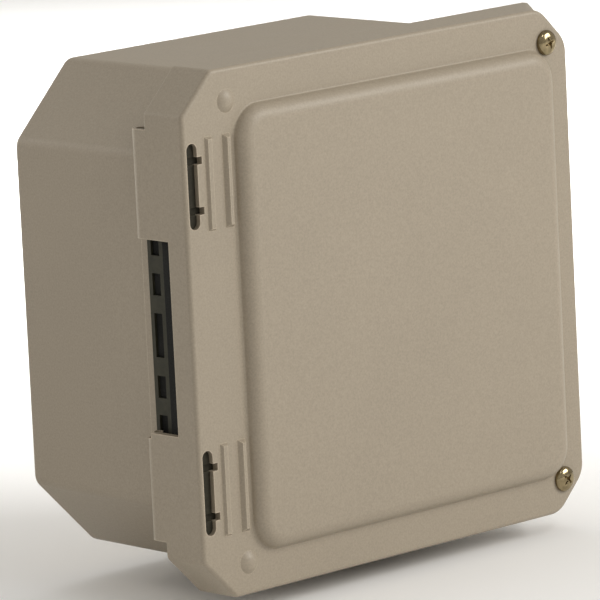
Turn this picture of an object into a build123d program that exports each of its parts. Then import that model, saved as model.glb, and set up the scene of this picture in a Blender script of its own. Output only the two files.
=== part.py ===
from build123d import *
import os

# Whole house surge protector: a moulded weatherproof box with a hinged two-screw cover, and a rail
# inside it that carries three plug-in surge modules.
# Frame: X to the right, Y towards the wall, Z up, origin at the centre of the wall face.
# "f" is a distance in front of the wall, so f = -Y. "t" is a depth behind the cover's flat rim.

# ---- driving dimensions, mm ----
cover_left, cover_right = -114.65, 115.8
cover_width, cover_height = cover_right - cover_left, 224.0
cover_front = 116.5          # f of the cover's flat rim
cover_wall = 3.0
skirt_depth = 23.0
left_chamfer = 17.7          # corner cuts of the cover on the hinge side
# the screw-side corners are cut on a slant from front to rear: depth, cut, corner rounding
right_corner = ((23.0, 3.0, 2.0), (20.0, 3.0, 2.0), (4.5, 15.6, 12.0), (0.0, 15.6, 12.0))
front_edge_round, rear_edge_round = 1.8, 0.6

panel_left, panel_right, panel_half_height = -85.8, 104.0, 95.0
panel_rise = 5.5
panel_corner = 14.0
panel_lean, panel_round = 12.0, 6.6      # its sides lean in, and roll over into the flat
panel_inset = 6.0                        # the hollow behind it is drawn in by this much
button_x, button_z, button_r, button_high = -89.2, 98.0, 5.0, 1.9

case_width, case_height = 209.7, 211.7   # at the wall
case_chamfer = 31.8
case_draft = 0.75            # growth of each side from the wall to the rim
case_wall = 3.2
case_floor = 4.0
case_edge_round, case_inside_round = 7.0, 4.5   # the long edges from wall to rim
rim_t = 6.2                  # depth of the case's rim behind the cover's flat rim
rim_land = 8.0

pin_x, pin_t = -110.45, 28.8
pin_r, pin_play = 1.5, 0.06
barrel_r = 4.2
lug_low, lug_high = 41.3, 87.6
ear_heights = (54.2, 75.3)   # the hinge strip's ears, mirrored below
ear_thick = 2.4
ear_play = 0.5
strip_face, strip_back = -108.2, -107.0
strip_low, strip_high = -43.3, 40.2      # its wide part, seen through the cover's side cut-out
strip_t0, strip_t1, strip_t2, strip_t3 = 12.0, 23.0, 24.0, 32.0
punched_t0, punched_t1 = 25.0, 29.9
punched_rows = ((-10.1, 8.7), (16.3, 25.7), (-27.5, -18.0), (33.3, 41.0), (-44.0, -34.8))
rivet_t, rivet_heights = 16.5, (-66.0, -30.0, 30.0, 66.0)
lug_relief = -43.7                       # the lower lug is slim down to here, clear of the strip

slot_x, slot_mid, slot_long, slot_wide = -109.8, 64.75, 36.2, 5.8
cross_slot_high, cross_slot_end = 3.2, -104.2

screw_x, screw_z = 102.6, 97.0
screw_r, head_r, head_high = 2.4, 5.6, 3.0
screw_long = 27.0
insert_top_t, insert_end_t = 19.5, 27.5
insert_r, insert_bore = 3.6, 2.75
ear_hole_r = 3.9

rail_z = 18.0
module_xs = (-18.0, 0.0, 18.0)
module_wide = 17.5
base_half, base_half_high = 27.0, 45.0
base_rear, base_floor, base_front = 19.8, 36.0, 62.0
module_half_high, module_rear, module_front = 21.7, 36.3, 78.0

hub_f = 54.5
hub_bore, hub_throat, hub_r, hub_end = 13.2, 10.5, 16.0, -121.0
hub_land = -107.4

wall_hole_x, wall_hole_z, wall_hole_r = 88.0, 50.0, 3.5
panel_screw_x, panel_screw_z = 62.0, 84.0
rail_screw_x = 50.0
terminal_z, contact_z = 36.5, 12.0       # above and below the rail's middle
hub_boss_r = 19.0


# ---- shared shapes ----
def slab(sketch, f0, f1, taper=0.0):
    """A flat outline drawn in X and Z, given thickness from f0 to f1 in front of the wall."""
    placed = Plane.XZ.offset(f0) * sketch
    if taper:
        return extrude(placed, amount=f1 - f0, taper=taper)
    return extrude(placed, amount=f1 - f0, dir=(0, -1, 0))


def block(x0, x1, f0, f1, z0, z1):
    middle = ((x0 + x1) / 2, -(f0 + f1) / 2, (z0 + z1) / 2)
    return Pos(*middle) * Box(abs(x1 - x0), abs(f1 - f0), abs(z1 - z0))


def disc(x, z, radius, f0, f1):
    return slab(Pos(x, z) * Circle(radius), min(f0, f1), max(f0, f1))


def upright(sketch, z0, z1):
    """A flat outline drawn in X and Y, given height from z0 to z1."""
    return extrude(Plane((0, 0, z0)) * sketch, amount=z1 - z0, dir=(0, 0, 1))


def post(x, f, radius, z0, z1):
    """An upright round bar."""
    return Pos(x, -f, (z0 + z1) / 2) * Cylinder(radius, abs(z1 - z0))


def behind(t):
    """The f of a depth t behind the cover's flat rim."""
    return cover_front - t


def octagon(width, height, left_cut, right_cut, inset=0.0):
    """A rectangle with four cut corners, drawn in by an even inset."""
    half_w, half_h = width / 2 - inset, height / 2 - inset
    left, right = left_cut - 0.586 * inset, right_cut - 0.586 * inset
    return Polygon(
        (half_w, half_h - right), (half_w - right, half_h), (-half_w + left, half_h),
        (-half_w, half_h - left), (-half_w, -half_h + left), (-half_w + left, -half_h),
        (half_w - right, -half_h), (half_w, -half_h + right), align=None)


def rounded(sketch, side, radius):
    """Rounds the outline's corners on one side: -1 is the hinge side, +1 the screw side."""
    corners = [v for v in sketch.vertices() if v.X * side > 0]
    return fillet(corners, radius)


def write(shape, node, label):
    shape.label = label
    export_step(shape, f"parts/{node}.step")


os.makedirs("parts", exist_ok=True)


# ---- case ----
def case_outline(f, inset=0.0):
    grow = case_draft * f / behind(rim_t)
    outline = octagon(case_width + 2 * grow, case_height + 2 * grow, case_chamfer, case_chamfer, inset)
    return Plane.XZ.offset(f) * fillet(outline.vertices(), case_edge_round if inset == 0 else case_inside_round)


def screw_ear(side):
    """The case's corner ear that takes a cover screw; side is +1 at the top, -1 at the bottom."""
    points = [(76, 102), (98, 103.6), (102.6, 103.6), (109.6, 96.6), (109.6, 91), (105, 74)]
    outline = Polygon(*[(x, z * side) for x, z in points], align=None)
    return slab(outline, behind(30.0), behind(rim_t))


backing_x, backing_t0, backing_t1 = -105.4, 24.3, 31.0   # shallow recess behind the punched holes


def make_case():
    rim_f = behind(rim_t)
    shell = loft([case_outline(0), case_outline(rim_f)])
    back_edges = shell.edges().filter_by(lambda e: abs(e.center().Y) < 0.01)
    shell = fillet(back_edges, 2.0)
    hollow = loft([case_outline(case_floor, case_wall), case_outline(rim_f - 5.0, case_wall)])
    mouth = loft([case_outline(rim_f - 5.0, case_wall), case_outline(rim_f - 2.0, rim_land)])
    mouth += extrude(case_outline(rim_f - 2.0, rim_land), amount=3.0)
    pads = block(strip_back, -100.0, behind(strip_t2), behind(8.0), -84.5, 84.5)
    pads += block(strip_back, -100.0, behind(37.0), behind(8.0), strip_low - 0.1, strip_high + 0.2)
    shell += pads
    shell += screw_ear(1) + screw_ear(-1)
    shell += post(0, hub_f, hub_boss_r, hub_land, -101.0)
    shell -= hollow + mouth
    shell += post(0, hub_f, hub_boss_r, hub_land, -102.2)
    shell -= post(0, hub_f, 13.4, hub_land - 1, -100.0)
    for side in (-1, 1):
        shell -= disc(screw_x, screw_z * side, ear_hole_r, behind(insert_top_t), behind(rim_t) + 1)
        shell -= disc(screw_x, screw_z * side, insert_r, behind(28.0), behind(insert_top_t) + 1)
    for x in (-panel_screw_x, panel_screw_x):
        for z in (-panel_screw_z, panel_screw_z):
            shell += disc(x, z, 6.0, case_floor - 0.5, 10.0)
            shell -= disc(x, z, 2.05, 3.0, 11.0)
    for x in (-wall_hole_x, wall_hole_x):
        for z in (-wall_hole_z, wall_hole_z):
            shell += disc(x, z, 8.0, case_floor - 0.5, 6.0)
            shell -= disc(x, z, wall_hole_r, -1.0, 7.0)
    for z in rivet_heights:
        shell -= Pos(-104.5, -behind(rivet_t), z) * Rot(0, 90, 0) * Cylinder(1.55, 12.0)
    shell -= block(strip_back - 1, backing_x, behind(backing_t1), behind(backing_t0), strip_low, strip_high)
    return shell


write(make_case(), "enclosure_body", "moulded case")


# ---- cover ----
def cover_shell():
    """The cover's rim and skirt, outside and inside. Its screw-side corners are cut on a slant."""
    def outline(t, cut, corner, inset):
        sketch = octagon(cover_width, cover_height, left_chamfer, cut, inset)
        sketch = rounded(sketch, -1, 3.0 - inset * 0.5)
        sketch = rounded(sketch, 1, corner - inset * 0.5)
        return Plane.XZ.offset(behind(t)) * Pos((cover_left + cover_right) / 2, 0) * sketch
    outer = loft([outline(*level, 0.0) for level in right_corner], ruled=True)
    front = outer.edges().filter_by(lambda e: abs(e.center().Y + cover_front) < 0.01)
    outer = fillet(front, front_edge_round)
    rear = outer.edges().filter_by(lambda e: abs(e.center().Y + behind(skirt_depth)) < 0.01)
    outer = fillet(rear, rear_edge_round)
    inside = [*right_corner[:3], (cover_wall, *right_corner[3][1:])]
    inner = loft([outline(*level, cover_wall) for level in inside], ruled=True)
    inner += extrude(outline(*right_corner[0], cover_wall), amount=-1.0)
    return outer, inner


def panel_outline(inset=0.0):
    wide = panel_right - panel_left - 2 * inset
    high = 2 * (panel_half_height - inset)
    return Pos((panel_left + panel_right) / 2, 0) * RectangleRounded(wide, high, panel_corner - inset * 0.6)


def hinge_lug(side):
    """A lug behind the skirt, ending in a round barrel about the pin, cut out round the ears."""
    z0, z1 = sorted((side * lug_low, side * lug_high))
    lug = post(pin_x, behind(pin_t), barrel_r, z0, z1)
    lug += block(cover_left, pin_x, behind(pin_t), behind(skirt_depth - 1.0), z0, z1)
    lug += block(cover_left, pin_x - 0.6, behind(pin_t), behind(12.0), z0, z1)
    lug -= block(-111.65, -100.0, behind(22.9), behind(11.0), z0 - 1, z1 + 1)
    lug -= post(pin_x, behind(pin_t), pin_r + pin_play, z0 - 1, z1 + 1)
    for ear in ear_heights:
        low, high = side * ear - ear_thick / 2 - ear_play, side * ear + ear_thick / 2 + ear_play
        lug -= post(pin_x, behind(pin_t), 2.95, low, high)
        way = Polygon((-2.9, 0), (-2.7, -3.0), (-1.19, -6.0), (-1.19, -12), (9, -12), (9, 6), (0, 6), (0, 0),
                      align=None)
        lug -= upright(Pos(pin_x, -behind(pin_t)) * way, low, high)
    if side < 0:
        # beside the strip's low end only the outer plate and a thin ring about the pin are left
        slim = post(pin_x, behind(pin_t), barrel_r + 4.0, lug_relief, z1 + 1)
        slim -= post(pin_x, behind(pin_t), 2.1, lug_relief - 1, z1 + 2)
        slim -= block(cover_left - 1, pin_x - 1.0, behind(pin_t), behind(0.0), lug_relief - 1, z1 + 2)
        lug -= slim
    # the pin goes in from the lug's outer end, through an open pocket
    end, deep = side * lug_high, side * (lug_high - 3.4)
    pocket = block(-112.6, -108.3, behind(pin_t), behind(22.0), min(end, deep) - 0.01, max(end, deep) + 0.01)
    pocket += post(pin_x, behind(pin_t), 2.6, min(end, deep) - 0.01, max(end, deep) + 0.01)
    return lug - pocket


def make_cover():
    outer, inner = cover_shell()
    shell = outer - inner
    panel = slab(panel_outline(), cover_front, cover_front + panel_rise, taper=panel_lean)
    top = panel.edges().filter_by(lambda e: abs(e.center().Y + cover_front + panel_rise) < 0.01)
    shell += fillet(top, panel_round) + slab(panel_outline(), behind(2.0), cover_front)
    shell -= slab(panel_outline(panel_inset), behind(cover_wall + 0.1), cover_front + panel_rise - cover_wall)
    foot = shell.edges().filter_by(
        lambda e: abs(e.center().Y + cover_front) < 0.01 and abs(e.center().Z) < panel_half_height + 0.1
        and panel_left - 0.1 < e.center().X < panel_right + 0.1)
    shell = fillet(foot, 0.8)
    notch = block(-120.0, -109.0, behind(skirt_depth + 1), behind(11.9), -lug_low, lug_low)
    shell -= notch
    for side in (-1, 1):
        shell += hinge_lug(side)
        shell -= slab(Pos(slot_x, side * slot_mid) * Rot(0, 0, 90) * SlotOverall(slot_long, slot_wide),
                      behind(cover_wall + 1), cover_front + 1)
        for ear in ear_heights:
            z = side * ear
            shell -= block(slot_x, cross_slot_end, behind(cover_wall + 1), cover_front + 1,
                           z - cross_slot_high / 2, z + cross_slot_high / 2)
        for x, wide, high in ((-100.3, 4.2, 1.4), (-90.2, 4.4, 2.0)):
            rib = Pos(x, side * slot_mid) * Rectangle(wide, slot_long + 3.4)
            shell += slab(rib, cover_front - 0.01, cover_front + high, taper=35)
        ball_r = (button_r ** 2 + button_high ** 2) / (2 * button_high)
        ball = Pos(button_x, -(cover_front + button_high - ball_r), side * button_z) * Sphere(ball_r)
        cap = disc(button_x, side * button_z, button_r, cover_front - 0.4, cover_front + button_high + 1)
        shell += ball & cap
        shell -= disc(screw_x, side * screw_z, 2.75, behind(cover_wall + 1), cover_front + 1)
    return shell


write(make_cover(), "cover", "hinged cover")


def make_gasket():
    outline = octagon(case_width + 1.5, case_height + 1.5, case_chamfer, case_chamfer, 1.8)
    window = octagon(case_width + 1.5, case_height + 1.5, case_chamfer, case_chamfer, 7.2)
    return slab(outline - window, behind(rim_t) + 0.2, behind(cover_wall))


write(make_gasket(), "cover_gasket", "foam gasket")


# ---- hinge ----
def make_hinge_strip():
    """A dark strip on the case, with a row of punched holes, and four ears that hold the pins."""
    strip = block(strip_face, strip_back, behind(strip_t2), behind(strip_t0), -84.0, 84.0)
    strip += block(strip_face, strip_back, behind(strip_t3), behind(strip_t1), strip_low, strip_high)
    for low, high in punched_rows:
        strip -= block(strip_face - 1, strip_back + 1, behind(punched_t1), behind(punched_t0), low, high)
    pin_y = -behind(pin_t)
    for side in (-1, 1):
        for ear in ear_heights:
            low, high = side * ear - ear_thick / 2, side * ear + ear_thick / 2
            web = Polygon((strip_back, -behind(24.0)), (strip_back, -behind(18.0)), (strip_face, -behind(18.0)),
                          (pin_x - 2.2, pin_y - 0.9), (pin_x + 1.2, pin_y + 2.0), align=None)
            strip += upright(web, low, high)
            strip += post(pin_x, behind(pin_t), 2.4, low, high)
    for side in (-1, 1):
        strip -= post(pin_x, behind(pin_t), pin_r + 0.02, side * 50, side * 80)
    for z in rivet_heights:
        strip -= Pos(strip_back, -behind(rivet_t), z) * Rot(0, 90, 0) * Cylinder(1.55, 6.0)
    return strip


write(make_hinge_strip(), "hinge_strip", "perforated hinge strip")

rivets = []
for z in rivet_heights:
    head = Pos(strip_face - 0.45, -behind(rivet_t), z) * Rot(0, 90, 0) * Cylinder(2.7, 0.9)
    shank = Pos(-104.4, -behind(rivet_t), z) * Rot(0, 90, 0) * Cylinder(1.5, 7.6)
    tail = Pos(-100.35, -behind(rivet_t), z) * Rot(0, 90, 0) * Cylinder(2.5, 0.5)
    rivets.append(head + shank + tail)
write(Compound(rivets), "hinge_rivets", "rivets of the hinge strip")

# foam: a seal over the strip's front part and its rivets, and a backing behind the punched holes
seal_x, seal_t0, seal_t1 = -109.8, 12.4, 21.0
seal = block(seal_x, strip_face - 0.02, behind(seal_t1), behind(seal_t0), -83.0, 83.0)
for z in rivet_heights:
    seal -= Pos(strip_face, -behind(rivet_t), z) * Rot(0, 90, 0) * Cylinder(2.9, 2.2)
for side in (-1, 1):
    for ear in ear_heights:
        seal -= block(seal_x - 1, strip_face + 1, behind(23.0), behind(17.0), side * ear - 1.6, side * ear + 1.6)
write(seal, "strip_seal", "foam seal on the hinge strip")
backing = block(strip_back + 0.1, backing_x - 0.05, behind(backing_t1 - 0.2), behind(backing_t0 + 0.2),
                strip_low + 0.3, strip_high - 0.3)
write(backing, "strip_backing", "foam backing of the hinge strip")

pins = []
for side in (-1, 1):
    shank = post(pin_x, behind(pin_t), pin_r, side * 44.0, side * 85.0)
    head = post(pin_x, behind(pin_t), 2.3, side * 84.4, side * 86.0)
    pins.append(shank + head)
write(Compound(pins), "hinge_pins", "hinge pins")


def make_slot_clip(side):
    """A nylon clip that fills a slot of the cover, with a flange behind the cover's face."""
    clip = slab(Pos(slot_x, side * slot_mid) * Rot(0, 0, 90) * SlotOverall(slot_long - 0.4, slot_wide - 0.4),
                behind(cover_wall + 0.5), behind(2.0))
    for ear in ear_heights:
        z = side * ear
        clip -= block(-120, -100, behind(cover_wall), cover_front, z - cross_slot_high / 2, z + cross_slot_high / 2)
    clip += slab(Pos(-107.6, side * slot_mid) * RectangleRounded(7.4, slot_long + 3, 1.0),
                 behind(4.6), behind(cover_wall + 0.05))
    return clip


write(Compound([make_slot_clip(1), make_slot_clip(-1)]), "hinge_slot_clips", "clips in the cover slots")


# ---- cover screws ----
def pan_screw(x, z, f_seat, radius, head_radius, head_height, length):
    """A cross-recessed pan head screw, seated at f_seat, with its thread as a plain rod."""
    head = disc(x, z, head_radius, f_seat, f_seat + head_height)
    crown = head.edges().filter_by(lambda e: abs(e.center().Y + f_seat + head_height) < 0.01)
    head = fillet(crown, head_height * 0.62)
    for turn in (45, 135):
        arm = Rectangle(head_radius * 1.05, head_radius * 0.24)
        head -= slab(Pos(x, z) * Rot(0, 0, turn) * arm, f_seat + head_height * 0.35, f_seat + head_height + 1)
    shank = disc(x, z, radius, f_seat - length, f_seat)
    tip = shank.edges().filter_by(lambda e: abs(e.center().Y + f_seat - length) < 0.01)
    return head + chamfer(tip, radius * 0.3)


for side, name in ((1, "top"), (-1, "bottom")):
    screw = pan_screw(screw_x, side * screw_z, cover_front, screw_r, head_r, head_high, screw_long)
    write(screw, f"cover_screw_{name}", f"{name} cover screw")
    ring = disc(screw_x, side * screw_z, 3.1, behind(13.5), behind(12.5))
    ring -= disc(screw_x, side * screw_z, screw_r + 0.02, behind(14.0), behind(12.0))
    write(ring, f"screw_retainer_{name}", f"{name} screw retaining ring")

inserts = []
for side in (-1, 1):
    insert = disc(screw_x, side * screw_z, insert_r - 0.05, behind(insert_end_t), behind(insert_top_t))
    inserts.append(insert - disc(screw_x, side * screw_z, insert_bore, behind(28.0), behind(19.0)))
write(Compound(inserts), "screw_inserts", "threaded inserts")


# ---- back panel and rail ----
panel_f0, panel_f1 = 10.0, 12.0
plate = slab(octagon(148.0, 186.0, 12.0, 12.0), panel_f0, panel_f1)
for x in (-panel_screw_x, panel_screw_x):
    for z in (-panel_screw_z, panel_screw_z):
        plate -= disc(x, z, 2.5, panel_f0 - 1, panel_f1 + 1)
for x in (-rail_screw_x, rail_screw_x):
    plate -= disc(x, rail_z, 1.8, panel_f0 - 1, panel_f1 + 1)
bar_z, bar_x = -72.0, 28.0
for x in (-bar_x, bar_x):
    plate -= disc(x, bar_z, 1.8, panel_f0 - 1, panel_f1 + 1)
write(plate, "back_panel", "steel back panel")

corner_screws = [pan_screw(x, z, panel_f1, 2.0, 4.0, 2.4, 8.0)
                 for x in (-panel_screw_x, panel_screw_x) for z in (-panel_screw_z, panel_screw_z)]
write(Compound(corner_screws), "panel_screws", "back panel screws")

rail_half, rail_high, rail_web, rail_thick = 66.0, 17.5, 13.5, 1.0
rail = block(-rail_half, rail_half, panel_f1, panel_f1 + rail_thick, rail_z - rail_web, rail_z + rail_web)
for side in (-1, 1):
    rail += block(-rail_half, rail_half, panel_f1, panel_f1 + 7.5,
                  rail_z + side * rail_web, rail_z + side * (rail_web - rail_thick))
    rail += block(-rail_half, rail_half, panel_f1 + 6.5, panel_f1 + 7.5,
                  rail_z + side * (rail_web - rail_thick), rail_z + side * rail_high)
for x in (-rail_screw_x, rail_screw_x):
    rail -= disc(x, rail_z, 1.8, panel_f1 - 1, panel_f1 + 3)
write(rail, "din_rail", "mounting rail")
rail_screws = [pan_screw(x, rail_z, panel_f1 + rail_thick, 1.7, 3.4, 2.0, 3.0)
               for x in (-rail_screw_x, rail_screw_x)]
write(Compound(rail_screws), "rail_screws", "rail screws")


# ---- surge protector base ----
terminal_sides = (-1, 1)


def make_base():
    low, high = rail_z - base_half_high, rail_z + base_half_high
    base = block(-base_half, base_half, base_rear, base_front, low, high)
    outer = base.edges().filter_by(Axis.X).filter_by(lambda e: abs(e.center().Y + base_front) < 0.01)
    base = chamfer(outer, 3.0)
    base -= block(-base_half - 1, base_half + 1, base_floor, base_front + 1, rail_z - 22.0, rail_z + 22.0)
    # fixed hook over the rail's upper edge
    edge = rail_z + rail_high
    base += block(-base_half + 3, base_half - 3, 16.0, base_rear, edge + 0.3, edge + 3.3)
    base += block(-base_half + 3, base_half - 3, 16.0, 18.2, edge - 2.6, edge + 3.3)
    # guide for the sliding foot
    base -= block(-6.4, 6.4, base_rear - 1, 24.4, low - 1, rail_z - 15.0)
    for x in module_xs:
        for side in terminal_sides:
            z_in, z_out = rail_z + side * 29.5, rail_z + side * 43.5
            base -= block(x - 5.3, x + 5.3, 37.5, 50.5, z_in, z_out)
            base -= block(x - 4.0, x + 4.0, 40.0, 48.0, z_out, rail_z + side * 46.0)
            base -= disc(x, rail_z + side * terminal_z, 3.3, 50.0, base_front + 1)
            z = rail_z + side * contact_z
            base -= block(x - 1.6, x + 1.6, 24.9, base_floor + 1, z - 5, z + 5)
    return base


write(make_base(), "spd_base", "surge protector base")

low = rail_z - base_half_high
foot = block(-6.0, 6.0, base_rear + 0.3, 24.0, low - 6.0, rail_z - 16.0)
foot += block(-6.0, 6.0, 16.2, base_rear + 0.4, low + 4.0, rail_z - rail_high - 0.3)
foot += block(-6.0, 6.0, 16.2, 18.2, low + 4.0, rail_z - rail_high + 2.4)
foot -= block(-3.0, 3.0, base_rear - 1, 25.0, low - 4.4, low - 1.6)
write(foot, "rail_latch", "sliding rail foot")

stops, stop_screws = [], []
for side in (-1, 1):
    x0, x1 = sorted((side * 28.0, side * 37.0))
    stop = block(x0, x1, base_rear, 44.0, rail_z - 22.0, rail_z + 22.0)
    stop -= block(x0 - 1, x1 + 1, 30.0, 45.0, rail_z - 23, rail_z - 9)
    stop -= block(x0 - 1, x1 + 1, 30.0, 45.0, rail_z + 9, rail_z + 23)
    for edge in (-1, 1):
        z_edge = rail_z + edge * rail_high
        stop += block(x0, x1, 16.0, base_rear, z_edge + edge * 0.3, z_edge + edge * 3.3)
        stop += block(x0, x1, 16.0, 18.2, z_edge - edge * 2.4, z_edge + edge * 3.3)
    middle = side * 32.5
    stop -= disc(middle, rail_z, 2.05, 25.0, 45.0)
    stops.append(stop)
    stop_screws.append(pan_screw(middle, rail_z, 44.0, 2.0, 3.6, 2.2, 14.0))
write(Compound(stops), "end_stops", "rail end stops")
write(Compound(stop_screws), "end_stop_screws", "end stop screws")

cages, terminal_screws, clips = [], [], []
for x in module_xs:
    for side in terminal_sides:
        z_mid = rail_z + side * terminal_z
        cage = block(x - 5.0, x + 5.0, 38.0, 50.0, z_mid - 6.5, z_mid + 6.5)
        cage -= block(x - 3.6, x + 3.6, 39.6, 46.6, z_mid - 7, z_mid + 7)
        cages.append(cage - disc(x, z_mid, 2.1, 46.0, 51.0))
        screw = disc(x, z_mid, 3.0, 50.6, 54.4) + disc(x, z_mid, 2.05, 44.6, 50.6)
        slit = Pos(x, z_mid) * Rot(0, 0, 20 + 35 * side + x) * Rectangle(6.4, 1.0)
        terminal_screws.append(screw - slab(slit, 53.0, 55.0))
        z_clip = rail_z + side * contact_z
        clip = block(x - 1.3, x + 1.3, 25.0, 34.8, z_clip - 4.2, z_clip + 4.2)
        clips.append(clip - block(x - 0.6, x + 0.6, 25.8, 35.0, z_clip - 5, z_clip + 5))
write(Compound(cages), "terminal_cages", "terminal clamp cages")
write(Compound(terminal_screws), "terminal_screws", "terminal screws")
write(Compound(clips), "contact_clips", "spring contacts of the base")


# ---- plug-in surge modules ----
def make_housing(x):
    half = module_wide / 2
    low, high = rail_z - module_half_high, rail_z + module_half_high
    shell = block(x - half, x + half, module_rear, module_front, low, high)
    front = shell.edges().filter_by(lambda e: abs(e.center().Y + module_front) < 0.01)
    shell = fillet(front, 1.6)
    shell -= block(x - half + 1.2, x + half - 1.2, module_rear - 1, module_front - 1.3, low + 1.2, high - 1.2)
    shell -= block(x - 2.5, x + 2.5, module_front - 2, module_front + 1, rail_z - 14.0, rail_z - 9.0)
    for groove in range(4):
        z = rail_z + 8.0 + 2.6 * groove
        shell -= block(x - 5.5, x + 5.5, module_front - 0.5, module_front + 1, z, z + 1.1)
    return shell


for number, x in enumerate(module_xs, start=1):
    write(make_housing(x), f"module_housing_{number}", f"housing of surge module {number}")
    plate = block(x - 7.4, x + 7.4, module_rear + 0.2, module_rear + 2.2, rail_z - 20.3, rail_z + 20.3)
    blades = []
    for side in terminal_sides:
        z = rail_z + side * contact_z
        plate -= block(x - 0.55, x + 0.55, module_rear, module_rear + 3, z - 4.05, z + 4.05)
        blades.append(block(x - 0.5, x + 0.5, 27.0, 42.0, z - 4.0, z + 4.0))
    write(plate, f"module_base_{number}", f"base plate of surge module {number}")
    write(Compound(blades), f"contact_blades_{number}", f"contact blades of surge module {number}")
    varistor = Pos(x - 3.0, -56.5, rail_z + 4.0) * Rot(0, 90, 0) * Cylinder(13.5, 6.0)
    rims = varistor.edges()
    write(fillet(rims, 1.2), f"varistor_{number}", f"coated varistor disc {number}")
    leaf = block(x + 2.0, x + 2.5, 44.0, 66.0, rail_z - 2.0, rail_z + 2.0)
    leaf += block(x + 0.3, x + 2.5, 65.5, 66.0, rail_z - 2.0, rail_z + 2.0)
    leaf += block(x + 0.6, x + 2.5, 44.0, 44.5, rail_z - 2.0, rail_z + 2.0)
    write(leaf, f"disconnect_spring_{number}", f"thermal disconnect spring {number}")
    flag = block(x - 3.2, x + 3.2, 74.6, 76.2, rail_z - 15.0, rail_z - 4.0)
    flag += block(x + 3.6, x + 5.0, 58.0, 76.2, rail_z - 9.0, rail_z - 5.0)
    flag += block(x + 3.0, x + 5.0, 74.6, 76.2, rail_z - 9.0, rail_z - 5.0)
    write(flag, f"indicator_flag_{number}", f"indicator flag {number}")


# ---- ground bar and its link ----
bar_half, bar_f0, bar_f1 = 35.0, 20.0, 28.0
bar_holes = (-20.0, -12.0, -4.0, 4.0, 12.0, 20.0)
link_x = 20.0
bar = block(-bar_half, bar_half, bar_f0, bar_f1, bar_z - 5.0, bar_z + 5.0)
standoffs, bar_screws = [], []
for x in bar_holes:
    bar -= post(x, 24.0, 2.0, bar_z - 6, bar_z + 6)
    bar -= disc(x, bar_z, 1.6, 24.0, bar_f1 + 1)
    depth = 26.2
    clamp = disc(x, bar_z, 1.5, depth, bar_f1 + 0.4) + disc(x, bar_z, 2.9, bar_f1 + 0.4, bar_f1 + 2.4)
    slit = Pos(x, bar_z) * Rot(0, 0, 15 + 4 * x) * Rectangle(6.2, 0.9)
    bar_screws.append(clamp - slab(slit, bar_f1 + 1.4, bar_f1 + 3))
for x in (-bar_x, bar_x):
    bar -= disc(x, bar_z, 2.1, bar_f0 - 1, bar_f1 + 1)
    standoffs.append(disc(x, bar_z, 5.0, panel_f1, bar_f0) - disc(x, bar_z, 1.8, panel_f1 - 1, bar_f0 + 1))
    bar_screws.append(pan_screw(x, bar_z, bar_f1, 1.7, 3.6, 2.2, 16.5))
write(bar, "ground_bar", "ground bar")
write(Compound(standoffs), "bar_standoffs", "insulating stand-offs")
write(Compound(bar_screws), "bar_screws", "ground bar screws")

link_r = 1.5
link_route = [(18.0, -43.4, -21.0), (18.0, -43.4, -42.0), (link_x, -24.0, -56.0), (link_x, -24.0, -72.5)]
link_line = FilletPolyline(*link_route, radius=9.0)
link = sweep(Plane(origin=link_line @ 0, z_dir=link_line % 0) * Circle(link_r), path=link_line)
write(link, "ground_link", "insulated link wire")


# ---- conduit hub ----
hub = post(0, hub_f, hub_r, hub_end, hub_land - 1.6)
lower = hub.edges().filter_by(lambda e: abs(e.center().Z - hub_end) < 0.01)
hub = chamfer(lower, 1.2)
hub += upright(Pos(0, -hub_f) * RegularPolygon(18.4, 8), hub_land - 5.6, hub_land - 1.6)
hub += post(0, hub_f, 13.1, hub_land - 2.0, -95.6)
hub -= post(0, hub_f, hub_throat, hub_end - 1, -90.0)
hub -= post(0, hub_f, hub_bore, hub_end - 1, hub_land - 3.6)
write(hub, "conduit_hub", "threaded conduit hub")

ring = post(0, hub_f, 16.5, hub_land - 1.55, hub_land - 0.02) - post(0, hub_f, 13.3, hub_land - 2, hub_land + 1)
write(ring, "hub_gasket", "hub sealing ring")

nut = upright(Pos(0, -hub_f) * RegularPolygon(18.0, 6), -102.15, -97.15)
nut -= post(0, hub_f, 13.2, -103.0, -96.0)
write(nut, "hub_locknut", "hub locknut")
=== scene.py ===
import math

import bpy
import numpy as np
from mathutils import Matrix, Vector


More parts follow.
